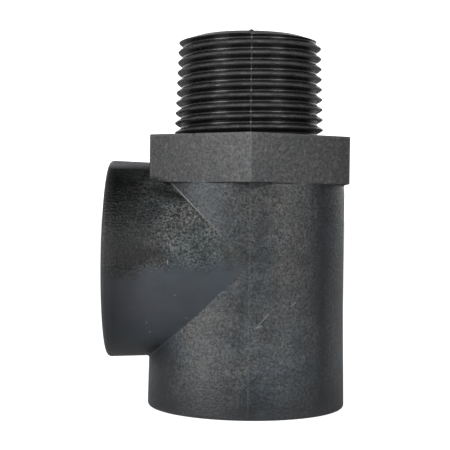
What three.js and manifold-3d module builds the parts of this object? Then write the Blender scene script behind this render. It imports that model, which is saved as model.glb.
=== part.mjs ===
// A moulded plastic pipe tee for irrigation lines, with 3/4 inch pipe threads: a lower port and a
// side port with internal threads, and a spigot on top with an external taper thread, standing on a
// hexagonal collar for a spanner. Millimetres, +Z up. The lower port's mouth lies on z = 0.
//
// The pieces are laid out about the crossing, the point where the axis of the straight run (Z) meets
// the axis of the side branch (-X). Every reach is measured from the crossing.
import * as THREE from "three";
import { mergeVertices } from "three/addons/utils/BufferGeometryUtils.js";
import Module from "manifold-3d";

// Driving dimensions
const runReach = 26.2; // crossing to the mouth of the lower port
const branchReach = 24.9; // crossing to the mouth of the side port
const hexReach = 13.65; // crossing to the underside of the hexagonal collar
const barrelDiameter = 34.8; // outside of the run and of the branch, where they cross
const runFlare = 0.33; // how much the run's radius grows towards its mouth
const branchFlare = 0.29; // the same for the branch
const mouthChamfer = 0.4; // broken outer edge of both mouths
const hexAcrossFlats = 34.6;
const hexHeight = 8.25;
const spigotLength = 17.7; // top of the collar to the end of the male thread
const waterway = 22; // bore where the run and the branch cross
const spigotBore = 18.5; // bore through the collar and the spigot
const boreStep = 2.4; // height over which the waterway narrows to the spigot's bore

// 3/4 inch pipe thread: 14 turns to the inch, 55 degree form, right-handed
const threadPitch = 1.814;
const threadMajor = 26.441; // at the gauge plane of the male thread, and all along the female ones
const threadDepth = 1.162;
const maleTaper = 1 / 16; // loss of diameter per length towards the end
const gaugeLength = 8; // end of the spigot down to its gauge plane
const firstCrest = 1.58; // end of the spigot down to the first crest, on the +X side
const endChamfer = 0.9; // height of the bevel that starts the male thread
const neckHeight = 1.3; // plain groove between the collar and the male thread
const neckRelief = 0.15; // how far the groove lies below the roots of the thread beside it

// Threaded linings of the two female ports
const liningWall = 0.6; // plastic behind the roots of a female thread
const fitGap = 0.3; // clearance between curved faces that sit in each other
const liningRecess = 0.2; // how far a lining stops short of the mouth around it
const crossingWall = 0.2; // plastic kept between the two ports' pockets where they pass each other
const leadIn = 0.35; // how much the lead-in opens past the female thread's major radius

const roundSegments = 64; // sides of the plain round pieces
const threadSegments = 36; // sides of the threaded ones

// Sizes that follow from these
const barrelRadius = barrelDiameter / 2;
const majorRadius = threadMajor / 2;
const liningRadius = majorRadius + liningWall;
const pocketRadius = liningRadius + fitGap;
const runPocketDepth = runReach - pocketRadius - crossingWall;
const branchPocketDepth = branchReach - pocketRadius - crossingWall;
const hexCornerRadius = hexAcrossFlats / Math.sqrt(3);

const wasm = await Module();
wasm.setup();

// A closed geometry as a solid that can be joined and cut
function toSolid(geometry) {
  const bare = geometry.clone();
  bare.deleteAttribute("normal");
  bare.deleteAttribute("uv");
  const merged = mergeVertices(bare, 1e-4);
  return new wasm.Manifold(
    new wasm.Mesh({
      numProp: 3,
      vertProperties: merged.getAttribute("position").array,
      triVerts: new Uint32Array(merged.index.array),
    }),
  );
}

function toGeometry(solid) {
  const mesh = solid.getMesh();
  return new THREE.BufferGeometry()
    .setAttribute("position", new THREE.BufferAttribute(mesh.vertProperties, 3))
    .setIndex(new THREE.BufferAttribute(mesh.triVerts, 1));
}

// A ring or a disc about Z, from its closed profile of [radius, height] corners, counter-clockwise
function revolve(profile, segments) {
  const points = [...profile, profile[0]].map(([r, z]) => new THREE.Vector2(r, z));
  return new THREE.LatheGeometry(points, segments).rotateX(Math.PI / 2);
}

// A solid disc or cone about Z
function disc(lowRadius, highRadius, low, high, segments) {
  return new THREE.CylinderGeometry(highRadius, lowRadius, high - low, segments)
    .rotateX(Math.PI / 2)
    .translate(0, 0, (low + high) / 2);
}

// A hexagonal prism about Z, with corners towards -Y and +Y
function hexPrism(acrossFlats, low, high) {
  return disc(acrossFlats / Math.sqrt(3), acrossFlats / Math.sqrt(3), low, high, 6);
}

// A rod about Z with a right-handed thread, reaching past low and high. crestAt is the height of one
// crest on the +X side, and radiusAt gives the crest's radius at a height. Each turn has four rows: the
// two edges of the crest's flat and the two edges of the root's flat, each flat a sixth of the pitch.
function threadedRod({ low, high, crestAt, radiusAt }) {
  const rows = [
    { at: -1 / 12, below: 0 },
    { at: 1 / 12, below: 0 },
    { at: 5 / 12, below: threadDepth },
    { at: 7 / 12, below: threadDepth },
  ];
  const firstTurn = Math.floor((low - crestAt) / threadPitch) - 2;
  const lastTurn = Math.ceil((high - crestAt) / threadPitch) + 1;
  const rowCount = rows.length * (lastTurn - firstTurn);
  const positions = [];
  const index = [];
  const starts = [];
  for (let column = 0; column < threadSegments; column++) {
    starts.push(positions.length / 3);
    const angle = (2 * Math.PI * column) / threadSegments;
    const last = rowCount + (column === 0 ? rows.length : 0);
    for (let j = 0; j <= last; j++) {
      const { at, below } = rows[j % rows.length];
      const turn = firstTurn + Math.floor(j / rows.length) + column / threadSegments;
      const z = crestAt + threadPitch * (turn + at);
      const r = radiusAt(z) - below;
      positions.push(r * Math.cos(angle), r * Math.sin(angle), z);
    }
  }
  // The last column meets the first one a whole turn higher up.
  const vertex = (column, j) =>
    column < threadSegments ? starts[column] + j : starts[0] + j + rows.length;
  for (let column = 0; column < threadSegments; column++) {
    for (let j = 0; j < rowCount; j++) {
      const [a, b] = [vertex(column, j), vertex(column + 1, j)];
      const [c, d] = [vertex(column + 1, j + 1), vertex(column, j + 1)];
      index.push(a, b, c, a, c, d);
    }
  }
  // Each end is a fan from a point on the axis, which the cuts for low and high take away.
  const lowPoint = positions.length / 3;
  positions.push(0, 0, crestAt + threadPitch * (firstTurn - 1));
  const highPoint = lowPoint + 1;
  positions.push(0, 0, crestAt + threadPitch * (lastTurn + 2));
  for (let column = 0; column < threadSegments; column++) {
    index.push(lowPoint, vertex(column + 1, 0), vertex(column, 0));
    index.push(highPoint, vertex(column, rowCount), vertex(column + 1, rowCount));
  }
  for (let j = 0; j < rows.length; j++) {
    index.push(lowPoint, vertex(0, j), vertex(0, j + 1));
    index.push(highPoint, vertex(0, rowCount + j + 1), vertex(0, rowCount + j));
  }
  return new THREE.BufferGeometry()
    .setAttribute("position", new THREE.Float32BufferAttribute(positions, 3))
    .setIndex(index);
}

// One port's barrel about Z, mouth down at z = 0: a flared outside, and a pocket for the threaded
// lining. It flares from where it leaves the other barrel. bore lists the inside above the pocket's
// shoulder, from the top down.
function portBarrel({ reach, flare, pocketDepth, top, bore }) {
  const mouthRadius = barrelRadius + flare;
  return revolve(
    [
      [pocketRadius, 0],
      [mouthRadius - mouthChamfer, 0],
      [mouthRadius, mouthChamfer],
      [barrelRadius, Math.max(reach - barrelRadius, 2 * mouthChamfer)],
      [barrelRadius, top],
      ...bore,
      [waterway / 2, pocketDepth],
      [pocketRadius, pocketDepth],
    ],
    roundSegments,
  );
}

// One port's threaded lining about Z, in the same place: a thin ring with a female thread inside,
// from just inside the mouth up to the pocket's shoulder, and a lead-in at the mouth.
function portLining(pocketDepth) {
  const ring = toSolid(
    disc(liningRadius, liningRadius, liningRecess, pocketDepth, threadSegments),
  );
  const thread = threadedRod({
    low: 0,
    high: pocketDepth,
    crestAt: 0,
    radiusAt: () => majorRadius,
  });
  const leadHeight = threadDepth + leadIn;
  const lead = disc(
    majorRadius + leadIn,
    majorRadius - threadDepth,
    liningRecess - leadIn,
    liningRecess + leadHeight,
    threadSegments,
  );
  return toGeometry(ring.subtract(toSolid(thread)).subtract(toSolid(lead)));
}

// The branch takes the space nearer its own axis than the run's: a prism whose edge lies on the
// crossing, so the two barrels meet on two flat mitres at 45 degrees.
const mitreSize = 2 * branchReach;
const mitre = new THREE.ExtrudeGeometry(
  new THREE.Shape([
    new THREE.Vector2(0, 0),
    new THREE.Vector2(-mitreSize, mitreSize),
    new THREE.Vector2(-mitreSize, -mitreSize),
  ]),
  { depth: 2 * barrelDiameter, bevelEnabled: false },
)
  .rotateX(Math.PI / 2)
  .translate(0, barrelDiameter, 0);

// The run: from the lower mouth up to the collar, notched for the branch
function runBarrel() {
  const whole = portBarrel({
    reach: runReach,
    flare: runFlare,
    pocketDepth: runPocketDepth,
    top: runReach + hexReach,
    bore: [
      [spigotBore / 2, runReach + hexReach],
      [waterway / 2, runReach + hexReach - boreStep],
    ],
  }).translate(0, 0, -runReach);
  return toGeometry(toSolid(whole).subtract(toSolid(mitre)));
}

// The branch: from the side mouth to its mitred point, with the collar's corner cut out of its top
function branchBarrel() {
  const whole = portBarrel({
    reach: branchReach,
    flare: branchFlare,
    pocketDepth: branchPocketDepth,
    top: branchReach,
    bore: [[waterway / 2, branchReach]],
  })
    .rotateY(Math.PI / 2)
    .translate(-branchReach, 0, 0);
  const collarRoom = hexPrism(hexAcrossFlats + 2 * fitGap, hexReach, hexReach + barrelDiameter);
  return toGeometry(
    toSolid(whole).intersect(toSolid(mitre)).subtract(toSolid(collarRoom)),
  );
}

// The collar: a hexagonal prism with the spigot's bore through it. The side port's pocket is a little
// wider than the collar stands above the crossing, so it leaves a shallow groove in the underside.
function hexCollar() {
  const top = hexReach + hexHeight;
  const bore = disc(spigotBore / 2, spigotBore / 2, hexReach - 1, top + 1, roundSegments);
  const pocket = disc(pocketRadius, pocketRadius, 0, branchPocketDepth, roundSegments)
    .rotateY(Math.PI / 2)
    .translate(-branchReach, 0, 0);
  return toGeometry(
    toSolid(hexPrism(hexAcrossFlats, hexReach, top))
      .subtract(toSolid(bore))
      .subtract(toSolid(pocket)),
  );
}

// The spigot: a tube with a taper thread, a plain neck at its foot and a bevelled end, foot at z = 0
function spigot() {
  const gaugePlane = spigotLength - gaugeLength;
  const radiusAt = (z) => majorRadius - ((z - gaugePlane) * maleTaper) / 2;
  const thread = threadedRod({
    low: 0,
    high: spigotLength,
    crestAt: spigotLength - firstCrest,
    radiusAt,
  });
  const neckRadius = radiusAt(neckHeight) - threadDepth - neckRelief;
  const outside = radiusAt(0) + 1;
  const endRadius = radiusAt(spigotLength) - threadDepth;
  const envelope = revolve(
    [
      [spigotBore / 2, 0],
      [neckRadius, 0],
      [neckRadius, neckHeight],
      [outside, neckHeight + (outside - neckRadius) / 2],
      [outside, spigotLength - (endChamfer * (outside - endRadius)) / threadDepth],
      [endRadius, spigotLength],
      [spigotBore / 2, spigotLength],
    ],
    roundSegments,
  );
  return toGeometry(toSolid(envelope).intersect(toSolid(thread)));
}

function piece(name, geometry, color, roughness) {
  const material = new THREE.MeshStandardMaterial({ color, roughness, metalness: 0 });
  const mesh = new THREE.Mesh(geometry, material);
  mesh.name = name;
  return mesh;
}

const lowerPort = new THREE.Group();
lowerPort.position.z = -runReach;
lowerPort.add(piece("run_port_thread", portLining(runPocketDepth), 0x1c1d1f, 0.45));

const sidePort = new THREE.Group();
sidePort.position.x = -branchReach;
sidePort.rotation.y = Math.PI / 2;
sidePort.add(piece("branch_port_thread", portLining(branchPocketDepth), 0x1c1d1f, 0.45));

const maleThread = piece("male_thread_spigot", spigot(), 0x151617, 0.4);
maleThread.position.z = hexReach + hexHeight;

// The origin is under the middle of the whole fitting, on the plane of the lower mouth.
const tee = new THREE.Group();
const rightmost = Math.max(barrelRadius + runFlare, hexAcrossFlats / 2);
tee.position.set((branchReach - rightmost) / 2, 0, runReach);
tee.add(
  lowerPort,
  sidePort,
  piece("run_barrel", runBarrel(), 0x35383c, 0.6),
  piece("branch_barrel", branchBarrel(), 0x313438, 0.6),
  piece("hex_collar", hexCollar(), 0x3c3d3f, 0.7),
  maleThread,
);

const fitting = new THREE.Group();
fitting.add(tee);
export default fitting;
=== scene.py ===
import math
import bpy
import numpy as np
from mathutils import Matrix, Vector


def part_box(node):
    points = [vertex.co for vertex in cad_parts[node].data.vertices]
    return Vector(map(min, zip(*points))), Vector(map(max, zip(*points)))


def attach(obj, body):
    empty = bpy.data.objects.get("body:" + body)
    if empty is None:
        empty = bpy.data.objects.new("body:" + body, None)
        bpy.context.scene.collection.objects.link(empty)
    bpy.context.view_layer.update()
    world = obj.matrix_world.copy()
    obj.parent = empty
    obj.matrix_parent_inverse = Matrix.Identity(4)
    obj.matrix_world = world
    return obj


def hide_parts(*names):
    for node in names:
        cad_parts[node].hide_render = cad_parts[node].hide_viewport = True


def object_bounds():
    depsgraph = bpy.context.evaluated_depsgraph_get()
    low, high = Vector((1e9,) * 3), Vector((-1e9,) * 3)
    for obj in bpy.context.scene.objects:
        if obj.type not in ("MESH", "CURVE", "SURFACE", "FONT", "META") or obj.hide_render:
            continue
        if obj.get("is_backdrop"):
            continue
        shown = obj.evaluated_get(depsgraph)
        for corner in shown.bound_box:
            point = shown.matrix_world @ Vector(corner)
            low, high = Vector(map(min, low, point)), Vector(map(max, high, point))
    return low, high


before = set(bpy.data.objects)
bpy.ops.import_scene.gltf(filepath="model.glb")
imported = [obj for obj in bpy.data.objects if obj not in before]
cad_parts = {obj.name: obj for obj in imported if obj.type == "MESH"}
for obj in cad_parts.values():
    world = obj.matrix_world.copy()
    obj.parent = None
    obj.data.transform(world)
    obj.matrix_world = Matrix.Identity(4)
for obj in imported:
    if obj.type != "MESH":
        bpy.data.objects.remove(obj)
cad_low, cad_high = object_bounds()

# ------------------------------------------------------------------------------------------------
# The table: a plain white sheet under and behind the fitting, as for a catalogue picture.
# It is only scenery, and it glows towards the camera so that it stays white up to the horizon.
# ------------------------------------------------------------------------------------------------
mm = 0.001


def grey(level):
    """That grey as a colour."""
    return (level, level, level, 1)


def add_node(tree, kind, **settings):
    """A node of that kind. A setting named after a property sets it, and one named after an input
    fills that input with a value, or with a link when it is given another node's output."""
    made = tree.nodes.new(kind)
    for key, value in settings.items():
        name = key.replace("_", " ")
        sockets = [s for s in made.inputs if s.name.lower() == name.lower() and s.enabled]
        if key[:2] == "in" and key[2:].isdigit():
            sockets = [made.inputs[int(key[2:])]]
        if not sockets:
            setattr(made, key, value)
        elif isinstance(value, bpy.types.NodeSocket):
            tree.links.new(value, sockets[0])
        else:
            sockets[0].default_value = value
    return made


def arithmetic(tree, operation, a, b=0.0, c=0.0, clamp=False):
    """The output of one Math node."""
    made = add_node(tree, "ShaderNodeMath", operation=operation, use_clamp=clamp, in0=a, in1=b, in2=c)
    return made.outputs[0]


def blend_colour(tree, factor, first, second, mode="MIX"):
    """The output of one colour mix: first where the factor is 0 and second where it is 1."""
    made = add_node(tree, "ShaderNodeMix", data_type="RGBA", blend_type=mode)
    for socket, value in zip((made.inputs[0], made.inputs[6], made.inputs[7]), (factor, first, second)):
        if isinstance(value, bpy.types.NodeSocket):
            tree.links.new(value, socket)
        else:
            socket.default_value = value
    return made.outputs[2]


def ramp(tree, value, stops):
    """The output of a colour ramp in grey, from (place, grey) stops."""
    made = add_node(tree, "ShaderNodeValToRGB", Fac=value)
    band = made.color_ramp
    while len(band.elements) < len(stops):
        band.elements.new(0.5)
    for element, (place, level) in zip(band.elements, stops):
        element.position = place
        element.color = grey(level)
    return made.outputs[0]


table_radius = 4.0
table_corners = 96
table_drop = 0.1 * mm
table_glow = 0.93
turn = np.linspace(0, 2 * math.pi, table_corners, endpoint=False)
sheet = bpy.data.meshes.new("white_table")
edge_points = [table_radius * np.cos(turn), table_radius * np.sin(turn), 0 * turn - table_drop]
sheet.from_pydata(np.stack(edge_points, axis=1).tolist(), [], [list(range(table_corners))])
table = bpy.data.objects.new("white_table", sheet)
bpy.context.collection.objects.link(table)
table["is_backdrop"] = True

paper = bpy.data.materials.new("white_paper")
paper.use_nodes = True
tree = paper.node_tree
tree.nodes.clear()
seen = add_node(tree, "ShaderNodeLightPath").outputs["Is Camera Ray"]
white = add_node(tree, "ShaderNodeBsdfDiffuse", Color=grey(0.82))
glow_seen = arithmetic(tree, "MULTIPLY", seen, table_glow)
glow = add_node(tree, "ShaderNodeEmission", Color=grey(1), Strength=glow_seen)
both = add_node(tree, "ShaderNodeAddShader", in0=white.outputs[0], in1=glow.outputs[0])
add_node(tree, "ShaderNodeOutputMaterial", Surface=both.outputs[0])
sheet.materials.append(paper)

# ------------------------------------------------------------------------------------------------
# The light: a white tent, dim at its sides and overhead, with three soft boxes in front of the
# fitting, the left one brightest. The tent is the world, and no lamp shows in the picture.
# ------------------------------------------------------------------------------------------------
tent_strength = 2.0
tent = bpy.data.worlds.new("white_tent")
tent.use_nodes = True
bpy.context.scene.world = tent
tree = tent.node_tree
tree.nodes.clear()
way = add_node(tree, "ShaderNodeTexCoord").outputs["Generated"]
axes = add_node(tree, "ShaderNodeSeparateXYZ", Vector=way)
# Towards the camera is 0, to the sides is 0.5 and behind the fitting is 1.
behind = arithmetic(tree, "MULTIPLY_ADD", axes.outputs["Y"], 0.5, 0.5)
wall_light = [(0.0, 0.50), (0.10, 0.52), (0.22, 0.42), (0.40, 0.08), (0.74, 0.06), (0.83, 0.75), (1.0, 0.85)]
walls = ramp(tree, behind, wall_light)
# Straight down is 0, level is 0.5 and straight up is 1.
height = arithmetic(tree, "MULTIPLY_ADD", axes.outputs["Z"], 0.5, 0.5)
front_light = [(0.0, 0.8), (0.5, 1.0), (0.6, 0.85), (0.72, 0.35), (0.85, 0.08), (1.0, 0.05)]
back_light = [(0.0, 0.8), (0.5, 1.0), (0.62, 0.95), (0.70, 0.18), (1.0, 0.05)]
front_fade = ramp(tree, height, front_light)
back_fade = ramp(tree, height, back_light)
fade = blend_colour(tree, behind, front_fade, back_fade)
inside = arithmetic(tree, "MULTIPLY", walls, fade)
inside = arithmetic(tree, "MULTIPLY", inside, tent_strength)
seen = add_node(tree, "ShaderNodeLightPath").outputs["Is Camera Ray"]
strength = arithmetic(tree, "MAXIMUM", inside, seen)
glow = add_node(tree, "ShaderNodeBackground", Color=grey(1), Strength=strength)
add_node(tree, "ShaderNodeOutputWorld", Surface=glow.outputs[0])

lamp_aim = (cad_low + cad_high) / 2
# name: (degrees round from the camera's side, degrees up, distance, width, height, watts)
lamps = {
    "soft_box_left": (-50, 13, 0.36, 0.13, 0.26, 1.1),
    "soft_box_right": (47, 17, 0.36, 0.11, 0.20, 0.56),
    "soft_box_front": (7, 27, 0.36, 0.16, 0.05, 0.16),
}
for name, (around, up, distance, width, tall, watts) in lamps.items():
    lamp = bpy.data.lights.new(name, "AREA")
    lamp.shape = "RECTANGLE"
    lamp.size = width
    lamp.size_y = tall
    lamp.energy = watts
    box = bpy.data.objects.new(name, lamp)
    bpy.context.collection.objects.link(box)
    round_angle = math.radians(around)
    up_angle = math.radians(up)
    flat = distance * math.cos(up_angle)
    sideways = flat * math.sin(round_angle)
    forwards = -flat * math.cos(round_angle)
    offset = Vector((sideways, forwards, distance * math.sin(up_angle)))
    box.location = lamp_aim + offset
    box.rotation_euler = (-offset).to_track_quat("-Z", "Y").to_euler()
    box.visible_camera = False

# ------------------------------------------------------------------------------------------------
# The camera: a long lens close to level, looking square at the side of the branch.
# ------------------------------------------------------------------------------------------------
pan = math.radians(0.309)
tilt = math.radians(-0.728)
roll = math.radians(0.711)
ahead = Vector((math.sin(pan) * math.cos(tilt), math.cos(pan) * math.cos(tilt), math.sin(tilt)))
right = Vector((math.cos(pan), -math.sin(pan), 0))
above = right.cross(ahead)
across = right * math.cos(roll) + above * math.sin(roll)
upwards = above * math.cos(roll) - right * math.sin(roll)
eye = Vector((-1.665, -212.6, 35.16)) * mm
lens = bpy.data.cameras.new("camera")
lens.lens = 93.86
lens.sensor_width = 36
lens.clip_start = 0.005
lens.clip_end = 20
camera = bpy.data.objects.new("camera", lens)
camera.matrix_world = Matrix(
    (
        (across.x, upwards.x, -ahead.x, eye.x),
        (across.y, upwards.y, -ahead.y, eye.y),
        (across.z, upwards.z, -ahead.z, eye.z),
        grey(0),
    )
)
bpy.context.collection.objects.link(camera)
bpy.context.scene.camera = camera
bpy.context.scene.view_settings.view_transform = "Standard"

# ------------------------------------------------------------------------------------------------
# The run: the upright pipe of the tee, in black polypropylene, moulded in one shot with the rest.
# The two halves of the mould close on a plane square to the branch, which leaves a fine raised
# line down the front and the back. The branch meets it on two mitres with a small fillet.
# ------------------------------------------------------------------------------------------------
run_low, run_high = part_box("run_barrel")
branch_low, branch_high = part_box("branch_barrel")
collar_low, collar_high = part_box("hex_collar")
crossing = Vector(((run_low.x + run_high.x) / 2, 0, (branch_low.z + branch_high.z) / 2))

run_reach = crossing.z - run_low.z
branch_reach = crossing.x - branch_low.x
collar_foot = collar_low.z - crossing.z
flat_distance = (collar_high.x - collar_low.x) / 2
barrel_radius = 17.4 * mm
run_flare = run_high.x - crossing.x - barrel_radius
branch_flare = branch_high.z - crossing.z - barrel_radius
crotch_fillet = 0.45 * mm
collar_fillet = 0.25 * mm
fillet_inset = 0.02 * mm
collar_ease = 1.6 * mm
collar_ease_depth = 0.12 * mm
parting_height = 0.045 * mm
parting_width = 0.11 * mm
waterway = 11.0 * mm
spigot_bore = 9.25 * mm
bore_step = 2.4 * mm
pocket_radius = 14.12 * mm
run_pocket = 11.88 * mm
mouth_round = 0.55 * mm
lip_round = 0.3 * mm
# Further than this from its axis, a point of a pipe is on its outer skin.
outer_skin = 16.5 * mm
crease_width = 0.13 * mm
crease_start = -4 * mm
crease_full = -10 * mm
# Where the painted shade in the lower inner corner of the tee is centred, and how wide it spreads.
crotch_shade_place = -15.8 * mm
crotch_shade_spread = 2.4 * mm
hair = 0.001 * mm
merge_distance = 0.0001 * mm
sharp_angle = math.radians(38)


def bell(distance, width):
    """1 at no distance, and falling away smoothly: e to the power of -(distance / width) squared."""
    return np.exp(-((distance / width) ** 2))


def hexagon(angle):
    """Distance from the axis to the collar's side at an angle: the flat's distance over the cosine
    of the angle from the middle of the nearest flat, whose normals lie at 0, 60, 120 degrees..."""
    sixth = math.pi / 3
    return flat_distance / np.cos((angle + sixth / 2) % sixth - sixth / 2)


def parting_line(x):
    """Height of the mould's parting line at a distance x from its plane: a smooth bell."""
    return parting_height * bell(x, parting_width)


def run_radius(x, y, z):
    """Outside radius of the run alone. It flares evenly from below the branch to the mouth, eases
    in to the collar's flats just under the collar, and ends there in a quarter-round fillet that
    never passes the side of the hexagon."""
    flare = run_flare * np.clip((-z - run_reach + barrel_radius) / barrel_radius, 0, 1)
    ease = np.clip(1 + (z - collar_foot) / collar_ease, 0, 1)
    radius = barrel_radius + flare - collar_ease_depth * ease**2 * (3 - 2 * ease)
    up = np.clip(1 + (z - collar_foot) / collar_fillet, 0, 1)
    side = hexagon(np.arctan2(y, x))
    filled = radius + collar_fillet * (1 - np.sqrt(1 - up**2))
    return np.minimum(filled, np.maximum(side, radius - fillet_inset))


def branch_radius(x):
    """Outside radius of the branch alone: it flares evenly over the part that stands clear of the run."""
    return barrel_radius + branch_flare * np.clip((-x - barrel_radius) / (branch_reach - barrel_radius), 0, 1)


def body_skin(x, y, z):
    """How far a point lies outside the joined skin of run and branch. It is the smaller of the two
    distances, less h squared times k / 4 where they differ by less than k, which rounds the
    crotch. k shrinks to nothing where the two pipes turn parallel, as a rolled fillet does."""
    from_run = np.where(z > collar_foot + hair, 1.0, np.hypot(x, y) - run_radius(x, y, z))
    from_branch = np.where(x < 0, np.hypot(y, z) - branch_radius(x), 1.0)
    k = crotch_fillet * np.clip(-x / barrel_radius, 0, 1) ** 2 + 1e-9
    h = np.clip(1 - np.abs(from_run - from_branch) / k, 0, 1)
    return np.minimum(from_run, from_branch) - h * h * k / 4 - parting_line(x)


def settle(point_at, start):
    """The radius at which point_at(radius) lies on the skin: it steps back by the distance left over."""
    radius = start + 0.0 * point_at(start)[0]
    for _ in range(60):
        radius = radius - body_skin(*point_at(radius))
    return radius


def gathered(count, growth):
    """Numbers from 0 to 1 whose steps grow by the same factor, so that they gather near 0."""
    steps = growth ** np.arange(count)
    return np.concatenate([[0], np.cumsum(steps) / steps.sum()])


def solid_mesh(name, grids):
    """One closed mesh from grids of points [row, column, xyz]. Each grid is given as (points, keep),
    and closes on itself both ways; keep says which of its cells are made. Each cell is two
    triangles. Corners nearer than a tenth of a micrometre become one, empty triangles go, and
    everything is turned round if the volume, the sum of a . (b x c) / 6, is negative."""
    corners = []
    faces = []
    total = 0
    for points, keep in grids:
        rows, columns = points.shape[:2]
        index = total + np.arange(rows * columns).reshape(rows, columns)
        low, high = index, np.roll(index, -1, axis=0)
        quads = np.stack([low, np.roll(low, -1, axis=1), np.roll(high, -1, axis=1), high], axis=-1)[keep]
        faces += [quads[:, [0, 1, 2]], quads[:, [0, 2, 3]]]
        corners.append(points.reshape(-1, 3))
        total += rows * columns
    corners = np.concatenate(corners)
    faces = np.concatenate(faces)
    rounded = np.round(corners / merge_distance)
    _, first, same = np.unique(rounded, axis=0, return_index=True, return_inverse=True)
    faces = same.reshape(-1)[faces]
    whole = (faces[:, 0] != faces[:, 1]) & (faces[:, 1] != faces[:, 2]) & (faces[:, 2] != faces[:, 0])
    faces = faces[whole]
    used, faces = np.unique(faces, return_inverse=True)
    faces = faces.reshape(-1, 3)
    corners = corners[first][used]
    a, b, c = (corners[faces[:, i]] for i in range(3))
    if np.einsum("ij,ij->i", a, np.cross(b, c)).sum() < 0:
        faces = faces[:, ::-1]
    mesh = bpy.data.meshes.new(name)
    mesh.vertices.add(len(corners))
    mesh.loops.add(faces.size)
    mesh.polygons.add(len(faces))
    mesh.vertices.foreach_set("co", (corners + np.array(crossing)).astype(np.float32).ravel())
    mesh.loops.foreach_set("vertex_index", np.ascontiguousarray(faces).astype(np.int32).ravel())
    mesh.polygons.foreach_set("loop_start", np.arange(0, faces.size, 3, dtype=np.int32))
    mesh.polygons.foreach_set("use_smooth", np.ones(len(faces), bool))
    mesh.update(calc_edges=True)
    mesh.validate()
    mesh.set_sharp_from_angle(angle=sharp_angle)
    return mesh, corners


def add_piece(name, mesh, material, node):
    """The finished piece: it takes its material and its slot, rides on the root body, and stands
    for one CAD node."""
    made = bpy.data.objects.new(name, mesh)
    bpy.context.collection.objects.link(made)
    mesh.materials.append(material)
    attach(made, "root")
    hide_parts(node)
    return made


def mark(mesh, name, values):
    """A number for each corner of the mesh, which the material reads by its name."""
    layer = mesh.attributes.new(name, "FLOAT", "POINT")
    layer.data.foreach_set("value", values.astype(np.float32))


# Angles round a pipe: one each degree, and closer together beside the parting line at +-90 degrees.
near_line = np.array([-0.75, -0.5, -0.25, 0.25, 0.5, 0.75])
degrees = np.concatenate([np.arange(-180, 180), 90 + near_line, -90 + near_line])
around = np.radians(np.sort(degrees))
cosine = np.cos(around)
sine = np.sin(around)
quarter = np.radians(np.linspace(0, 90, 7))


def section(*lengths, columns=len(around)):
    """A section's rows stacked into one grid. Each length is (radius, axial), with a row for each
    place along it and either a value for each angle or one value for them all."""
    radii = np.concatenate([np.broadcast_to(r, (len(r), columns)) for r, _ in lengths])
    places = np.concatenate([np.broadcast_to(a, (len(a), columns)) for _, a in lengths])
    return radii, places


def column(*values):
    """Values for a few rows, each the same all the way round."""
    return np.array(values, float)[:, None]


def port_section(reach, rounding, shoulder, skin, mitre, bore):
    """The section of a pipe that ends in a port, from the outer edge of its mouth round to the inner
    one: a quarter round, the skin, the mitre and the bore, each given as (radius, axial), then the
    pocket, and a smaller quarter round."""
    outer = quarter[:-1, None]
    lip = quarter[:, None]
    return section(
        (skin[0][0] - rounding * (1 - np.sin(outer)), -reach + rounding - rounding * np.cos(outer)),
        skin,
        mitre,
        bore,
        (column(pocket_radius), column(shoulder)),
        (pocket_radius + lip_round * (1 - np.cos(lip)), -reach + lip_round * (1 - np.sin(lip))),
    )


# On the branch's side each half of the run ends on a 45 degree plane: axial = radius x |cosine|.
lean = np.maximum(-cosine, 0)
edge_radius = settle(lambda r: (r * cosine, r * sine, -r * lean), barrel_radius)
share = gathered(52, 1.09)[:, None]
mitre_steps = np.linspace(0, 1, 4)[1:-1, None]
bore_steps = np.linspace(0, 1, 12)[:, None]
bore_r = np.full(bore_steps.shape, waterway)

# Lower half: outer skin from the mouth up to the mitre, mitre inwards, bore, shoulder, pocket, mouth.
skin_foot = -run_reach + mouth_round
skin_z = -edge_radius * lean + (skin_foot + edge_radius * lean) * share[::-1]
skin_r = settle(lambda r: (r * cosine, r * sine, skin_z), barrel_radius)
skin_r[-1] = edge_radius
mitre_r = edge_radius + (waterway - edge_radius) * mitre_steps
shoulder_z = -run_reach + run_pocket
bore_z = -waterway * lean + (shoulder_z + waterway * lean) * bore_steps
lower = port_section(
    run_reach, mouth_round, shoulder_z, (skin_r, skin_z), (mitre_r, -mitre_r * lean), (bore_r, bore_z)
)
cut = len(quarter) - 1 + len(skin_r) - 1
keep_lower = np.ones(lower[0].shape, bool)
open_side = (cosine > 1e-9) | (np.roll(cosine, -1) > 1e-9)
keep_lower[cut : cut + len(mitre_r) + 1, open_side] = False

# Upper half: mitre outwards, outer skin up to the collar, top face inwards, bore back down. Where
# the mitre would rise past the collar's underside, the half stops short at that height.
top_radius = np.minimum(edge_radius, collar_foot / np.maximum(lean, 1e-9))
top_z = np.minimum(edge_radius * lean, collar_foot)
rise = np.concatenate([gathered(40, 1.09) * 0.9, 0.9 + 0.1 * (1 - gathered(14, 1.2)[::-1][1:])])
skin_z = top_z + (collar_foot - top_z) * rise[:, None]
skin_r = settle(lambda r: (r * cosine, r * sine, skin_z), barrel_radius)
skin_r[0] = edge_radius
skin_r = np.where(top_radius < edge_radius, top_radius, skin_r)
mitre_r = top_radius + (waterway - top_radius) * mitre_steps[::-1]
step_z = collar_foot - bore_step
bore_z = step_z + (np.minimum(waterway * lean, step_z) - step_z) * bore_steps
upper = section(
    (mitre_r, mitre_r * lean),
    (skin_r, skin_z),
    (column(spigot_bore), column(collar_foot)),
    (bore_r, bore_z),
)
keep_upper = np.ones(upper[0].shape, bool)
keep_upper[: len(mitre_r), open_side] = False
keep_upper[-1, open_side] = False


def about_run(radii, places):
    """Points about the run's axis: radius and angle in the level plane, and the height."""
    return np.stack([radii * cosine, radii * sine, places + 0 * radii], axis=-1)


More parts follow.
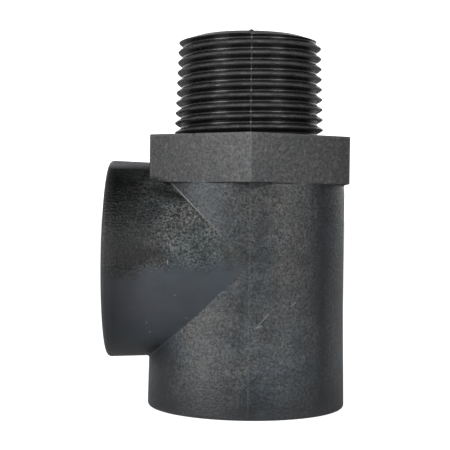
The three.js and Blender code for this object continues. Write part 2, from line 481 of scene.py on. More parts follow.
def mark_crotch(mesh, places, out):
    """Marks where the two pipes meet: a painted highlight along the upper mitres, a bell across the gap
    between |x| and |z| that fades in from crease_start, and painted shade in the lower inner corner."""
    gap = np.abs(np.abs(places[:, 0]) - np.abs(places[:, 2]))
    crease_highlight = bell(gap, crease_width) * (out > outer_skin)
    crease_highlight = crease_highlight * np.clip((crease_start - places[:, 0]) / (crease_start - crease_full), 0, 1)
    mark(mesh, "crease_highlight", crease_highlight * (places[:, 2] > 0))
    off_corner = np.hypot(places[:, 0] - crotch_shade_place, places[:, 2] - crotch_shade_place)
    mark(mesh, "corner", bell(off_corner, crotch_shade_spread))


mesh, places = solid_mesh("run", [(about_run(*lower), keep_lower), (about_run(*upper), keep_upper)])
out = np.hypot(places[:, 0], places[:, 1])
rim = bell(np.maximum(places[:, 2] + run_reach - 0.1 * mm, 0), 0.5 * mm) * (out > outer_skin)
seam = bell(places[:, 0], 0.16 * mm) * (out > outer_skin)
mark_crotch(mesh, places, out)
mark(mesh, "edge", np.maximum(rim, 0.6 * seam))


def new_group(name, inputs, outputs):
    """An empty node group. Inputs are (name, type, value) and outputs (name, type)."""
    group = bpy.data.node_groups.new(name, "ShaderNodeTree")
    for label, kind, value in inputs:
        socket = group.interface.new_socket(label, in_out="INPUT", socket_type=kind)
        socket.default_value = value
    for label, kind in outputs:
        group.interface.new_socket(label, in_out="OUTPUT", socket_type=kind)
    return group, group.nodes.new("NodeGroupInput"), group.nodes.new("NodeGroupOutput")


# Grain of the mould's eroded steel, printed on the skin: a fine noise, and coarser pebbles mixed in.
grain_group, grain_in, grain_out = new_group(
    "mould_grain",
    [
        ("Vector", "NodeSocketVector", (0, 0, 0)),
        ("Fine", "NodeSocketFloat", 4200.0),
        ("Coarse", "NodeSocketFloat", 1700.0),
        ("Pebbles", "NodeSocketFloat", 0.3),
    ],
    [("Height", "NodeSocketFloat"), ("Specks", "NodeSocketFloat"), ("Grit", "NodeSocketFloat")],
)
fine = add_node(
    grain_group, "ShaderNodeTexNoise", Vector=grain_in.outputs["Vector"],
    Scale=grain_in.outputs["Fine"], Detail=2.0,
)
coarse = add_node(
    grain_group, "ShaderNodeTexNoise", Vector=grain_in.outputs["Vector"],
    Scale=grain_in.outputs["Coarse"], Detail=3.0, Roughness=0.62,
)
mixed = add_node(
    grain_group, "ShaderNodeMix", in0=grain_in.outputs["Pebbles"], in2=fine.outputs[0], in3=coarse.outputs[0]
)
grain_group.links.new(mixed.outputs[0], grain_out.inputs["Height"])
specks = ramp(grain_group, coarse.outputs[0], [(0.0, 0.0), (0.6, 0.0), (0.76, 1.0)])
grain_group.links.new(specks, grain_out.inputs["Specks"])
grit = ramp(grain_group, mixed.outputs[0], [(0.40, 0.0), (0.62, 1.0)])
grain_group.links.new(grit, grain_out.inputs["Grit"])

# Patches where the plastic cooled or was handled differently: soft clouds, and smaller blotches.
patch_group, patch_in, patch_out = new_group(
    "cooling_patches",
    [
        ("Vector", "NodeSocketVector", (0, 0, 0)),
        ("Clouds", "NodeSocketFloat", 95.0),
        ("Blotches", "NodeSocketFloat", 330.0),
        ("Seed", "NodeSocketFloat", 0.0),
    ],
    [("Tint", "NodeSocketFloat"), ("Shade", "NodeSocketFloat")],
)
clouds = add_node(
    patch_group, "ShaderNodeTexNoise", noise_dimensions="4D", Vector=patch_in.outputs["Vector"],
    W=patch_in.outputs["Seed"], Scale=patch_in.outputs["Clouds"], Detail=2.0, Roughness=0.5,
)
blotches = add_node(
    patch_group, "ShaderNodeTexNoise", noise_dimensions="4D", Vector=patch_in.outputs["Vector"],
    W=patch_in.outputs["Seed"], Scale=patch_in.outputs["Blotches"], Detail=4.0, Roughness=0.6,
)
patch_group.links.new(
    ramp(patch_group, clouds.outputs[0], [(0.36, 0.0), (0.64, 1.0)]), patch_out.inputs["Tint"]
)
patch_group.links.new(
    ramp(patch_group, blotches.outputs[0], [(0.34, 0.0), (0.66, 1.0)]), patch_out.inputs["Shade"]
)

# A scratch: full along the straight line from Start to End, and gone at Width beside it.
scratch_group, scratch_in, scratch_out = new_group(
    "scratch",
    [
        ("Vector", "NodeSocketVector", (0, 0, 0)),
        ("Start", "NodeSocketVector", (0, 0, 0)),
        ("End", "NodeSocketVector", (0, 0, 1)),
        ("Width", "NodeSocketFloat", 0.0001),
    ],
    [("Mask", "NodeSocketFloat")],
)


def vector_math(tree, operation, a, b):
    """One Vector Math node."""
    return add_node(tree, "ShaderNodeVectorMath", operation=operation, in0=a, in1=b)


start = scratch_in.outputs["Start"]
along = vector_math(scratch_group, "SUBTRACT", scratch_in.outputs["End"], start).outputs[0]
offset = vector_math(scratch_group, "SUBTRACT", scratch_in.outputs["Vector"], start).outputs[0]
reach = arithmetic(
    scratch_group,
    "DIVIDE",
    vector_math(scratch_group, "DOT_PRODUCT", offset, along).outputs["Value"],
    vector_math(scratch_group, "DOT_PRODUCT", along, along).outputs["Value"],
    clamp=True,
)
foot = add_node(scratch_group, "ShaderNodeVectorMath", operation="SCALE", in0=along, Scale=reach).outputs[0]
gap = vector_math(scratch_group, "DISTANCE", offset, foot).outputs["Value"]
inner = arithmetic(scratch_group, "DIVIDE", gap, scratch_in.outputs["Width"])
mask = arithmetic(scratch_group, "SUBTRACT", 1.0, inner, clamp=True)
scratch_group.links.new(mask, scratch_out.inputs["Mask"])


def scratches(tree, place, lines):
    """The strongest of several scratches. Each line is (start, end, width), in millimetres from the
    crossing."""
    total = None
    for start, end, width in lines:
        one = add_node(tree, "ShaderNodeGroup", node_tree=scratch_group)
        tree.links.new(place, one.inputs["Vector"])
        one.inputs["Start"].default_value = [v * mm for v in start]
        one.inputs["End"].default_value = [v * mm for v in end]
        one.inputs["Width"].default_value = width * mm
        total = one.outputs[0] if total is None else arithmetic(tree, "MAXIMUM", total, one.outputs[0])
    return total


def begin_material(name):
    """A material with its Principled shader, and the place on the piece measured from the crossing."""
    material = bpy.data.materials.new(name)
    material.use_nodes = True
    tree = material.node_tree
    tree.nodes.clear()
    shader = add_node(tree, "ShaderNodeBsdfPrincipled")
    add_node(tree, "ShaderNodeOutputMaterial", Surface=shader.outputs[0])
    coordinates = add_node(tree, "ShaderNodeTexCoord")
    centred = add_node(tree, "ShaderNodeMapping", Vector=coordinates.outputs["Object"], Location=-crossing)
    return material, tree, shader, centred.outputs[0]


def use_group(tree, group, **settings):
    """A node group placed in a material."""
    made = add_node(tree, "ShaderNodeGroup", node_tree=group)
    for key, value in settings.items():
        socket = made.inputs[key]
        if isinstance(value, bpy.types.NodeSocket):
            tree.links.new(value, socket)
        else:
            socket.default_value = value
    return made


def attribute(tree, name):
    """A number stored on the mesh."""
    return add_node(tree, "ShaderNodeAttribute", attribute_name=name).outputs["Fac"]


def paint(tree, colour, mask, strength, over):
    """The colour, with another laid over it at that strength where the mask is 1."""
    return blend_colour(tree, arithmetic(tree, "MULTIPLY", mask, strength), colour, over)


def tone(tree, colour, factor, first, second):
    """The colour multiplied by a tone: first where the factor is 0 and second where it is 1."""
    return blend_colour(tree, 1.0, colour, blend_colour(tree, factor, first, second), "MULTIPLY")


def grow(tree, along, start, end):
    """0 at start and beyond it, 1 at end and beyond it, and a straight slope between them."""
    return arithmetic(tree, "MULTIPLY_ADD", along, 1 / (end - start), -start / (end - start), clamp=True)


def paint_crotch(tree, colour):
    """The colour, with a painted highlight along the upper mitres and painted shade in the lower inner
    corner, where the two pipes meet.
    """
    # Painted highlight along the upper mitres, then painted shade in the lower inner corner.
    colour = paint(tree, colour, attribute(tree, "crease_highlight"), 0.7, grey(0.24))
    return paint(tree, colour, attribute(tree, "corner"), 0.85, (0.005, 0.005, 0.006, 1))


def finish_skin(tree, shader, colour, shade, least_rough, more_rough, relief, depth):
    """Joins the skin's colour, its roughness, which grows with the shade, and its relief."""
    tree.links.new(colour, shader.inputs["Base Color"])
    rough = arithmetic(tree, "MULTIPLY_ADD", shade, more_rough, least_rough)
    tree.links.new(rough, shader.inputs["Roughness"])
    bump = add_node(tree, "ShaderNodeBump", Strength=1.0, Distance=depth, Height=relief)
    tree.links.new(bump.outputs[0], shader.inputs["Normal"])


run_plastic, tree, shader, place = begin_material("run_black_polypropylene")
shader.inputs["Specular IOR Level"].default_value = 0.42
grain = use_group(tree, grain_group, Vector=place, Fine=3400.0, Coarse=2000.0, Pebbles=0.5)
patches = use_group(tree, patch_group, Vector=place, Clouds=85.0, Blotches=300.0, Seed=2.0)
tint = blend_colour(tree, patches.outputs["Tint"], (0.020, 0.026, 0.031, 1), (0.030, 0.030, 0.029, 1))
colour = tone(tree, tint, patches.outputs["Shade"], (0.60, 0.62, 0.64, 1), (1.45, 1.42, 1.40, 1))
axes = add_node(tree, "ShaderNodeSeparateXYZ", Vector=place)
above_axis = grow(tree, axes.outputs["Z"], -3.2 * mm, 4.8 * mm)
soft_grit = blend_colour(tree, grain.outputs["Grit"], grey(0.35), grey(1.75))
grit = blend_colour(tree, grain.outputs["Grit"], grey(0.08), grey(2.2))
colour = tone(tree, colour, above_axis, soft_grit, grit)
colour = paint(tree, colour, grain.outputs["Specks"], 0.22, grey(0.10))
# Painted shade: the skin is painted darker over the last few millimetres before the mouth.
clear = grow(tree, axes.outputs["Z"], -run_reach + 0.8 * mm, -run_reach + 9.3 * mm)
colour = tone(tree, colour, clear, (0.30, 0.30, 0.31, 1), grey(1))
# Painted light: the lower half of the run is painted paler than the upper half.
low = grow(tree, axes.outputs["Z"], -1 * mm, -12 * mm)
colour = tone(tree, colour, low, grey(0.97), (1.45, 1.47, 1.50, 1))
marks = scratches(
    tree,
    place,
    [
        ((1.5, -17.33, -10.3), (3.25, -17.09, -8.3), 0.13),
        ((1.2, -17.36, -10.6), (2.1, -17.27, -10.3), 0.20),
        ((7.06, -15.9, -7.1), (7.83, -15.54, -6.5), 0.12),
        ((13.28, -11.25, -19.7), (13.5, -11.0, -21.0), 0.14),
        ((0.36, -17.4, -20.9), (0.42, -17.4, -21.1), 0.16),
    ],
)
# A pale rub low on the left of the front, and two darker ones to the right of the parting line.
rub = scratches(tree, place, [((-8.0, -15.4, -17.0), (-7.2, -15.8, -18.9), 1.2)])
colour = paint(tree, colour, rub, 0.5, (0.075, 0.085, 0.085, 1))
smudge_lines = [((7.6, -15.6, 1.6), (9.4, -14.6, 0.4), 1.5), ((1.6, -17.3, 3.5), (2.2, -17.2, 7.0), 1.4)]
smudge = scratches(tree, place, smudge_lines)
# Painted shade: the skin is painted darker below the branch; it is also darker along the right of the front.
painted_shade_and_dark_strip_lines = [((-14.6, -9.4, -15), (-14.6, -9.4, -26), 5.5), ((12.6, -12.0, 14), (12.6, -12.0, -26), 4.5)]
painted_shade_and_dark_strip = scratches(tree, place, painted_shade_and_dark_strip_lines)
colour = paint(tree, colour, painted_shade_and_dark_strip, 0.75, (0.008, 0.008, 0.010, 1))
colour = paint(tree, colour, smudge, 0.55, (0.009, 0.010, 0.014, 1))
colour = paint(tree, colour, marks, 0.6, (0.24, 0.24, 0.23, 1))
colour = paint(tree, colour, attribute(tree, "edge"), 0.35, (0.075, 0.078, 0.082, 1))
colour = paint_crotch(tree, colour)
finish_skin(tree, shader, colour, patches.outputs["Shade"], 0.42, 0.10, grain.outputs["Height"], 0.14 * mm)
add_piece("run", mesh, run_plastic, "run_barrel")

# ------------------------------------------------------------------------------------------------
# The branch: the short side pipe, of the same moulding. It ends on the run in two mitres, and its
# mouth has a rounded edge. Its top corner disappears into the foot of the collar.
# ------------------------------------------------------------------------------------------------
branch_round = 0.75 * mm
branch_pocket = 10.58 * mm
collar_hold = 16.9 * mm
mouth_skin = 16.3 * mm


def end_of(radius):
    """Axial place where the branch stops at each angle: the 45 degree mitre, |height|, but on top no
    further out than where it is well inside the collar."""
    depth = radius * np.abs(cosine)
    return -np.where(cosine > 0, np.minimum(depth, collar_hold), depth)


edge_radius = settle(lambda r: (end_of(r), r * sine, r * cosine), barrel_radius)
skin_mouth = -branch_reach + branch_round
skin_x = end_of(edge_radius) + (skin_mouth - end_of(edge_radius)) * share[::-1]
skin_r = settle(lambda r: (skin_x, r * sine, r * cosine), barrel_radius)
skin_r[-1] = edge_radius
mitre_r = edge_radius + (waterway - edge_radius) * mitre_steps
shoulder_x = -branch_reach + branch_pocket
bore_x = end_of(waterway) + (shoulder_x - end_of(waterway)) * bore_steps
radii, axial = port_section(
    branch_reach, branch_round, shoulder_x, (skin_r, skin_x), (mitre_r, end_of(mitre_r)), (bore_r, bore_x)
)
grid = np.stack([axial + 0 * radii, radii * sine, radii * cosine], axis=-1)
mesh, places = solid_mesh("branch", [(grid, np.ones(grid.shape[:2], bool))])
out = np.hypot(places[:, 1], places[:, 2])
rim = bell(np.maximum(places[:, 0] + branch_reach - 0.1 * mm, 0), 0.6 * mm) * (out > mouth_skin)
mark_crotch(mesh, places, out)
mark(mesh, "edge", rim)

branch_plastic, tree, shader, place = begin_material("branch_black_polypropylene")
shader.inputs["Specular IOR Level"].default_value = 0.33
grain = use_group(tree, grain_group, Vector=place, Fine=3400.0, Coarse=2300.0, Pebbles=0.5)
patches = use_group(tree, patch_group, Vector=place, Clouds=90.0, Blotches=340.0, Seed=7.0)
axes = add_node(tree, "ShaderNodeSeparateXYZ", Vector=place)
# The upper half came off a rougher piece of the mould. upper_half is 1 above the axis and 0 below
# it, with a wavy border that dips towards the mouth.
wavy = add_node(tree, "ShaderNodeTexNoise", Vector=place, Scale=260.0, Detail=2.0)
border = arithmetic(tree, "ADD", axes.outputs["Z"], 0.2 * mm)
border = arithmetic(tree, "MULTIPLY_ADD", wavy.outputs[0], 3.0 * mm, border)
towards_mouth = grow(tree, axes.outputs["X"], -12 * mm, -23 * mm)
border = arithmetic(tree, "MULTIPLY_ADD", towards_mouth, 1.5 * mm, border)
upper_half = arithmetic(tree, "MULTIPLY", border, 1 / (2.6 * mm), clamp=True)
stretched = add_node(tree, "ShaderNodeMapping", Vector=place, Scale=(1.0, 1.0, 0.16))
hatch = add_node(tree, "ShaderNodeTexNoise", Vector=stretched.outputs[0], Scale=2600.0, Detail=1.0)
flattened = add_node(tree, "ShaderNodeMapping", Vector=place, Scale=(0.16, 1.0, 1.0))
cross_hatch = add_node(tree, "ShaderNodeTexNoise", Vector=flattened.outputs[0], Scale=2600.0, Detail=1.0)
tint = blend_colour(tree, patches.outputs["Tint"], (0.016, 0.020, 0.021, 1), (0.025, 0.0245, 0.024, 1))
low_tint = blend_colour(tree, patches.outputs["Tint"], (0.026, 0.033, 0.039, 1), (0.032, 0.033, 0.039, 1))
tint = blend_colour(tree, upper_half, low_tint, tint)
shade = blend_colour(tree, patches.outputs["Shade"], (0.55, 0.57, 0.59, 1), (1.5, 1.48, 1.46, 1))
colour = tone(tree, tint, arithmetic(tree, "MULTIPLY_ADD", upper_half, 0.8, 0.2), grey(1), shade)
grit = blend_colour(tree, grain.outputs["Grit"], grey(0.05), grey(3.2))
# The roughness dies away towards the middle of the tee, where both pipes share one skin.
away = grow(tree, axes.outputs["X"], -2 * mm, -7 * mm)
colour = tone(tree, colour, arithmetic(tree, "MULTIPLY", upper_half, away), grey(1), grit)
speck = arithmetic(tree, "MULTIPLY", grain.outputs["Specks"], upper_half)
colour = paint(tree, colour, speck, 0.45, grey(0.13))
# Painted shade: the skin is painted darker towards the mouth, over a shorter stretch below the axis than
# above it.
clear = grow(tree, axes.outputs["X"], -branch_reach + 2 * mm, -branch_reach + 11 * mm)
late = arithmetic(tree, "MULTIPLY", clear, clear)
soon = arithmetic(tree, "MULTIPLY_ADD", clear, 1.1, 0.28, clamp=True)
clear = add_node(tree, "ShaderNodeMix", in0=upper_half, in2=soon, in3=late).outputs[0]
colour = tone(tree, colour, clear, (0.10, 0.11, 0.12, 1), grey(1.35))
marks = scratches(
    tree,
    place,
    [
        ((-13.7, -17.4, 0.5), (-13.7, -17.4, -0.1), 0.13),
        ((-10.6, -14.6, -9.3), (-10.5, -14.7, -9.4), 0.17),
        ((-16.8, -12.6, -12.0), (-16.7, -12.7, -11.9), 0.15),
        ((-17.2, -14.1, -10.1), (-17.3, -14.0, -10.3), 0.14),
        ((-12.6, -16.5, -5.3), (-12.4, -16.5, -5.4), 0.14),
    ],
)
# A dark band on the rough side of that border, and painted shadow where the branch runs under the collar.
dark_band_and_collar_shadow = scratches(
    tree,
    place,
    [((-22.5, -17.4, 0.8), (-15.6, -17.4, 1.8), 2.3), ((-15.8, -12.4, 12.4), (-11.5, -13.4, 11.0), 2.6)],
)
colour = paint(tree, colour, dark_band_and_collar_shadow, 0.85, grey(0.003))
colour = paint(tree, colour, marks, 0.6, (0.25, 0.27, 0.27, 1))
colour = paint(tree, colour, attribute(tree, "edge"), 0.4, (0.08, 0.08, 0.085, 1))
# Painted highlight: a pale band along its top.
top_highlight = grow(tree, axes.outputs["Z"], barrel_radius - 1.5 * mm, barrel_radius - 0.6 * mm)
colour = paint(tree, colour, top_highlight, 0.8, (0.21, 0.205, 0.225, 1))
colour = paint_crotch(tree, colour)
hatches = arithmetic(tree, "ADD", hatch.outputs[0], cross_hatch.outputs[0])
hatches = arithmetic(tree, "MULTIPLY", hatches, 0.5)
relief = arithmetic(tree, "ADD", grain.outputs["Height"], hatches)
depth = arithmetic(tree, "MULTIPLY_ADD", upper_half, 0.85, 0.15)
relief = arithmetic(tree, "MULTIPLY", relief, depth)
finish_skin(tree, shader, colour, patches.outputs["Shade"], 0.42, 0.08, relief, 0.22 * mm)
add_piece("branch", mesh, branch_plastic, "branch_barrel")

# ------------------------------------------------------------------------------------------------
# The collar: a hexagon for a spanner between the tee and the spigot, of the same moulding, with a
# dry, matte skin. Its edges are almost sharp, and one top edge has a small nick.
# ------------------------------------------------------------------------------------------------
collar_height = collar_high.z - collar_low.z
corner_round = 0.28 * mm
edge_round = 0.16 * mm
nick_angle = math.radians(-124.3)
nick_size = 0.22 * mm
nick_drop = 0.12 * mm
# The two lower corners on the branch's side are cut back by this much, over this height and angle.
branch_corner_depth = 1.0 * mm
branch_corner_height = 1.35 * mm
branch_corner_spread = math.radians(6)
# Further than this from the axis, a point of the collar is on its side and not in its bore.
collar_skin = 0.97 * flat_distance
# Angles round the collar: one each 1.5 degrees, and closer together at the corners and the nick.
at_corner = np.arange(-1.2, 1.21, 0.15)
one_side = np.concatenate([np.arange(-30, 0, 1.5), at_corner, np.arange(1.5, 30, 1.5)])
corner_angles = np.arange(-150, 180, 60)[:, None]
at_nick = nick_angle + np.radians(np.linspace(-1.3, 1.3, 14))
collar_angles = np.sort(np.concatenate([np.radians((corner_angles + one_side).ravel()), at_nick]))


def collar_side(angle):
    """The hexagon with rounded corners: the smaller of the flats' distance and an arc whose centre
    lies on the corner's diagonal, where the arc touches both flats."""
    off = (angle + math.pi) % (math.pi / 3) - math.pi / 6
    centre = flat_distance * 2 / math.sqrt(3) - corner_round * 2 / math.sqrt(3)
    inside = np.clip(corner_round**2 - (centre * np.sin(off)) ** 2, 0, None)
    arc = centre * np.cos(off) + np.sqrt(inside)
    touch = np.arctan2(corner_round / 2, centre + corner_round * math.sqrt(3) / 2)
    return np.where(np.abs(off) < touch, arc, hexagon(angle))


foot = collar_foot
top = collar_foot + collar_height
side = collar_side(collar_angles)
off_flat = np.abs((collar_angles + math.pi / 6) % (math.pi / 3) - math.pi / 6)
low_round = 0.08 * mm * np.clip((off_flat - math.radians(9)) / math.radians(8), 0, 1)
wall_z = np.linspace(foot + 0.09 * mm, top - edge_round, 24)[:, None]
line_height = parting_line(side * np.cos(collar_angles))
quarter_up = quarter[1:, None]
inner_r = np.linspace(1, 0, 10)[1:, None]
top_r = spigot_bore + (side - edge_round - spigot_bore) * inner_r
quarter_low = quarter[:-1, None]
radii, heights = section(
    (side - low_round * (1 - np.sin(quarter_low)), foot + low_round * (1 - np.cos(quarter_low))),
    (side + line_height + 0 * wall_z, wall_z),
    (side - edge_round * (1 - np.cos(quarter_up)), top - edge_round + edge_round * np.sin(quarter_up)),
    (top_r, top + 0 * top_r),
    (spigot_bore + 0 * top_r, top + (foot - top) * (1 - inner_r)),
    (spigot_bore + (side - spigot_bore) * np.linspace(0, 1, 8)[1:-1, None], np.full((6, 1), foot)),
    columns=len(side),
)
# The two lower corners on the branch's side are rounded off where they run into the branch.
beside = np.minimum(np.abs(collar_angles - math.radians(150)), np.abs(collar_angles + math.radians(150)))
climb = np.clip(1 - (heights - foot) / branch_corner_height, 0, 1)
rounded = branch_corner_depth * (1 - np.sqrt(1 - climb**2)) * bell(beside, branch_corner_spread)
radii = np.where(radii > collar_skin, radii - rounded, radii)
# The nick: a rounded dent on the top edge, pushed in and down.
away = np.hypot((collar_angles - nick_angle) * flat_distance, heights - top + 0.1 * mm)
dent = bell(away, nick_size) * (radii > collar_skin)
radii = radii - nick_size * dent
heights = heights - nick_drop * dent
grid = np.stack([radii * np.cos(collar_angles), radii * np.sin(collar_angles), heights], axis=-1)
mesh, places = solid_mesh("collar", [(grid, np.ones(grid.shape[:2], bool))])
angle = np.arctan2(places[:, 1], places[:, 0])
out = np.hypot(places[:, 0], places[:, 1])
on_side = out > collar_side(angle) - 0.3 * mm
to_corner = out * np.abs((angle + math.pi) % (math.pi / 3) - math.pi / 6)
corners = bell(to_corner, 0.35 * mm)
top_edge = bell(top - places[:, 2], 0.22 * mm)
seam = bell(places[:, 0], 0.2 * mm)
# Painted shade: 0 at the front and back corners, 1 at the sides.
mark(mesh, "painted_end_shade", np.clip(np.abs(places[:, 0]) / flat_distance, 0, 1))
mark(mesh, "edge", on_side * np.clip(0.4 * corners + top_edge + 0.15 * seam, 0, 1))

collar_plastic, tree, shader, place = begin_material("collar_matte_polypropylene")
shader.inputs["Specular IOR Level"].default_value = 0.3
grain = use_group(tree, grain_group, Vector=place, Fine=2900.0, Coarse=1700.0, Pebbles=0.5)
patches = use_group(tree, patch_group, Vector=place, Clouds=110.0, Blotches=420.0, Seed=4.0)
tint = blend_colour(tree, patches.outputs["Tint"], (0.060, 0.062, 0.064, 1), (0.078, 0.076, 0.073, 1))
colour = tone(tree, tint, patches.outputs["Shade"], grey(0.80), grey(1.20))
colour = tone(tree, colour, grain.outputs["Grit"], grey(0.50), grey(1.55))
# Painted shade: the flats are painted darker from the front and back corners out to the sides.
colour = tone(tree, colour, attribute(tree, "painted_end_shade"), grey(0.92), (0.34, 0.34, 0.35, 1))
colour = paint(tree, colour, grain.outputs["Specks"], 0.35, grey(0.16))
colour = paint(tree, colour, attribute(tree, "edge"), 0.4, grey(0.13))
finish_skin(tree, shader, colour, patches.outputs["Shade"], 0.46, 0.08, grain.outputs["Height"], 0.12 * mm)
add_piece("collar", mesh, collar_plastic, "hex_collar")

# ------------------------------------------------------------------------------------------------
# The spigot: the tube with the outside pipe thread that screws into the next fitting. It is moulded
# in the same two halves, so the parting line climbs over every turn and ends in a nub on the rim.
# ------------------------------------------------------------------------------------------------
spigot_low, spigot_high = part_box("male_thread_spigot")
spigot_foot = spigot_low.z - crossing.z
spigot_end = spigot_high.z - crossing.z
pitch = 1.814 * mm
major = 26.441 / 2 * mm
male_taper = 1 / 16
thread_depth = 1.162 * mm
sharp_height = 0.960491 * pitch
gauge_plane = spigot_end - 8.0 * mm
first_crest = spigot_end - 1.48 * mm
rim_rise = 0.4 * mm
end_radius = 9.95 * mm
end_slope = 3.0
neck_height = 0.3 * mm
neck_relief = 0.15 * mm
rim_round = 0.35 * mm
nub_height = 0.3 * mm
nub_width = 0.23 * mm
crest_lift = 0.09 * mm
root_round = 0.3 * mm
run_out_slope = 2.2
run_out_round = 0.25 * mm
bevel_round = 0.3 * mm
rim_hair = 0.02 * mm
rows_per_pitch = 18
# The parting line stands this many times as high on the thread as on the pipes.
line_growth = 2.0
at_line = np.concatenate([90 + 1.3 * near_line, -90 + 1.3 * near_line])
thread_angles = np.radians(np.sort(np.concatenate([np.arange(-180, 180, 1.25), at_line])))


def crest_radius(z):
    """Radius of the crests at a height: the taper is on the diameter, so half of it is on the radius."""
    return major - (z - gauge_plane) * male_taper / 2


def soft_least(a, b, k):
    """The smaller of a and b, rounded off where they differ by less than k."""
    h = np.clip(1 - np.abs(a - b) / k, 0, 1)
    return np.minimum(a, b) - h * h * k / 4


def thread_form(phase, crest_round, root_round):
    """Depth below the crest at a phase in turns, 0 on a crest. It is a saw tooth of 55 degrees,
    sharp_height deep, cut off above and below to thread_depth, and rounded into both cuts."""
    tooth = 2 * np.abs(phase - np.round(phase)) * sharp_height - (sharp_height - thread_depth) / 2
    tooth = -soft_least(-tooth, 0 * tooth, crest_round)
    return soft_least(tooth, thread_depth + 0 * tooth, root_round)


# Rows of the outside, eighteen to a pitch, from the foot to a hair below the rim.
rim_top = spigot_end + rim_rise
thread_rows = int(rows_per_pitch * (rim_top - spigot_foot) / pitch)
thread_z = np.linspace(spigot_foot, rim_top - rim_hair, thread_rows)[:, None]
phase = (thread_z - first_crest) / pitch - thread_angles / (2 * math.pi)
height_share = (thread_z - spigot_foot) / (spigot_end - spigot_foot)
crest_round = (0.50 + 0.85 * height_share) * mm
thread_r = crest_radius(thread_z) + crest_lift * height_share - thread_form(phase, crest_round, root_round)
neck_r = crest_radius(spigot_foot + neck_height) - thread_depth - neck_relief
run_out = neck_r + run_out_slope * np.maximum(thread_z - spigot_foot - neck_height, 0)
bevel = end_radius + (rim_top - thread_z) * end_slope
thread_r = soft_least(thread_r, run_out, run_out_round)
thread_r = soft_least(thread_r, bevel, bevel_round)
thread_r = thread_r + line_growth * parting_line(thread_r * np.cos(thread_angles))
last_r = thread_r[-1]
rim_inner = spigot_bore + rim_round
ring = np.linspace(0, 1, 9)[1:, None]
rim_r = last_r + (rim_inner - last_r) * ring
nub = nub_height * bell(rim_r * np.cos(thread_angles), nub_width) * (np.sin(thread_angles) < 0)
nub = nub * bell(rim_r - last_r + 0.12 * mm, 0.3 * mm)
lip = np.radians(np.linspace(0, 90, 6))[1:, None]
bore_rows = np.linspace(0, 1, 14)[1:, None]
radii, heights = section(
    (thread_r, thread_z),
    (rim_r, rim_top + nub),
    (rim_inner - rim_round * np.sin(lip), rim_top - rim_round * (1 - np.cos(lip))),
    (spigot_bore + 0 * bore_rows, rim_top - rim_round + (spigot_foot - rim_top + rim_round) * bore_rows),
    columns=len(thread_angles),
)
grid = np.stack([radii * np.cos(thread_angles), radii * np.sin(thread_angles), heights], axis=-1)
mesh, places = solid_mesh("spigot", [(grid, np.ones(grid.shape[:2], bool))])
out = np.hypot(places[:, 0], places[:, 1])
crest_gap = crest_radius(places[:, 2]) - out
turns = (places[:, 2] - first_crest) / pitch - np.arctan2(places[:, 1], places[:, 0]) / (2 * math.pi)
above_crest = (turns - np.round(turns)) * pitch
# Painted highlight: a pale band on the upper shoulder of each crest.
shoulder = bell(above_crest - 0.14 * mm, 0.25 * mm) * (crest_gap < 0.6 * thread_depth)
outside = out > spigot_bore + 0.8 * mm
# Painted highlight: a thin pale line along each root.
root_highlight = bell(np.abs(above_crest) - pitch / 2, 0.11 * mm) * outside
seam = bell(places[:, 0], 0.09 * mm) * outside
# Painted highlights: both are strongest on the front and the back of each turn, and weakest at the sides.
front_back_highlight = 0.25 + 0.75 * np.clip(np.abs(places[:, 1]) / out, 0, 1) ** 2
mark(mesh, "edge", np.maximum(shoulder * front_back_highlight, 0.75 * seam))
mark(mesh, "root_highlight", root_highlight * front_back_highlight)
# Painted shade: the flanks and roots are marked darker the deeper they lie.
mark(mesh, "root", np.clip(crest_gap / (0.6 * thread_depth), 0, 1) * outside)

thread_plastic, tree, shader, place = begin_material("thread_black_polypropylene")
grain = use_group(tree, grain_group, Vector=place, Fine=5200.0, Coarse=1500.0, Pebbles=0.5)
patches = use_group(tree, patch_group, Vector=place, Clouds=150.0, Blotches=600.0, Seed=9.0)
colour = blend_colour(tree, patches.outputs["Tint"], (0.008, 0.008, 0.009, 1), (0.012, 0.012, 0.013, 1))
# Painted shade in the flanks and roots.
colour = paint(tree, colour, attribute(tree, "root"), 0.8, grey(0.003))
# Painted highlight along the roots.
colour = paint(tree, colour, attribute(tree, "root_highlight"), 0.7, grey(0.045))
# Painted highlight on the crests' shoulders, uneven with the patches, and the pale parting line.
highlight_strength = arithmetic(tree, "MULTIPLY_ADD", patches.outputs["Shade"], 0.45, 0.55)
colour = paint(tree, colour, attribute(tree, "edge"), highlight_strength, grey(0.105))
finish_skin(tree, shader, colour, patches.outputs["Shade"], 0.20, 0.10, grain.outputs["Height"], 0.010 * mm)
add_piece("spigot", mesh, thread_plastic, "male_thread_spigot")

# ------------------------------------------------------------------------------------------------
# The two threaded ports: the inside pipe threads of the run's lower mouth and of the branch.
# Unscrewing cores form them in the mould, so they are glossier than the outside.
# ------------------------------------------------------------------------------------------------
lining_recess = 0.2 * mm
lead_in = 0.35 * mm
port_round = 0.3 * mm

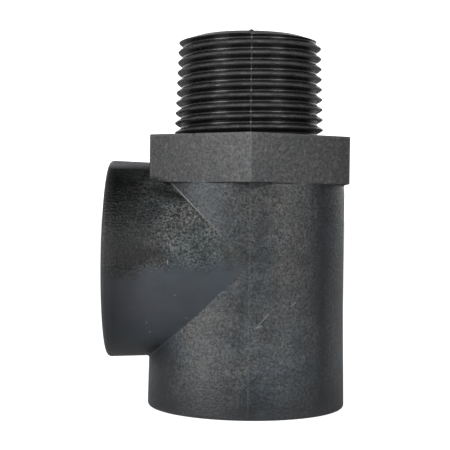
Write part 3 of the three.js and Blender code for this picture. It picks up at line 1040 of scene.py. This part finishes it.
port_plastic, tree, shader, place = begin_material("port_thread_polypropylene")
grain = use_group(tree, grain_group, Vector=place, Fine=5200.0, Coarse=1500.0, Pebbles=0.4)
patches = use_group(tree, patch_group, Vector=place, Clouds=140.0, Blotches=520.0, Seed=12.0)
colour = blend_colour(tree, patches.outputs["Tint"], (0.018, 0.018, 0.019, 1), (0.025, 0.025, 0.026, 1))
wear = arithmetic(tree, "MULTIPLY", attribute(tree, "edge"), patches.outputs["Shade"])
colour = paint(tree, colour, wear, 0.5, grey(0.06))
finish_skin(tree, shader, colour, patches.outputs["Shade"], 0.30, 0.12, grain.outputs["Height"], 0.010 * mm)


def port_thread(name, depth, reach, turn_in, node):
    """A threaded lining about its own mouth, from lining_recess down to the pocket's shoulder. Its
    inside radius is the major radius less the depth of the thread form turned inside out, and it
    opens in a cone at the mouth. turn_in carries (radius cos, radius sin, depth) to the tee."""
    rows_z = np.linspace(lining_recess, depth, int(14 * depth / pitch))[:, None]
    phase = rows_z / pitch - thread_angles / (2 * math.pi)
    inside_r = major - thread_depth + thread_form(phase + 0.5, port_round, port_round)
    cone = major + lead_in - (rows_z - lining_recess)
    inside_r = -soft_least(-inside_r, -cone + 0 * inside_r, 0.1 * mm)
    back = np.linspace(0, 1, 4)[1:, None]
    radii, depths = section(
        (pocket_radius + 0 * back, lining_recess + (depth - lining_recess) * (back - back[0])),
        (inside_r[::-1], rows_z[::-1]),
        columns=len(thread_angles),
    )
    points = turn_in(radii * np.cos(thread_angles), radii * np.sin(thread_angles), depths - reach)
    mesh, places = solid_mesh(name, [(np.stack(points, axis=-1), np.ones(radii.shape, bool))])
    out = np.hypot(places[:, 1], places[:, 0] if node == "run_port_thread" else places[:, 2])
    mark(mesh, "edge", bell(out - major + thread_depth, 0.2 * mm))
    add_piece(name, mesh, port_plastic, node)


port_thread("run_thread", run_pocket, run_reach, lambda a, b, d: (a, b, d), "run_port_thread")
port_thread("branch_thread", branch_pocket, branch_reach, lambda a, b, d: (d, b, -a), "branch_port_thread")

# ------------------------------------------------------------------------------------------------
# The size of this model, taken in the same way as that of the CAD model.
# ------------------------------------------------------------------------------------------------
low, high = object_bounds()
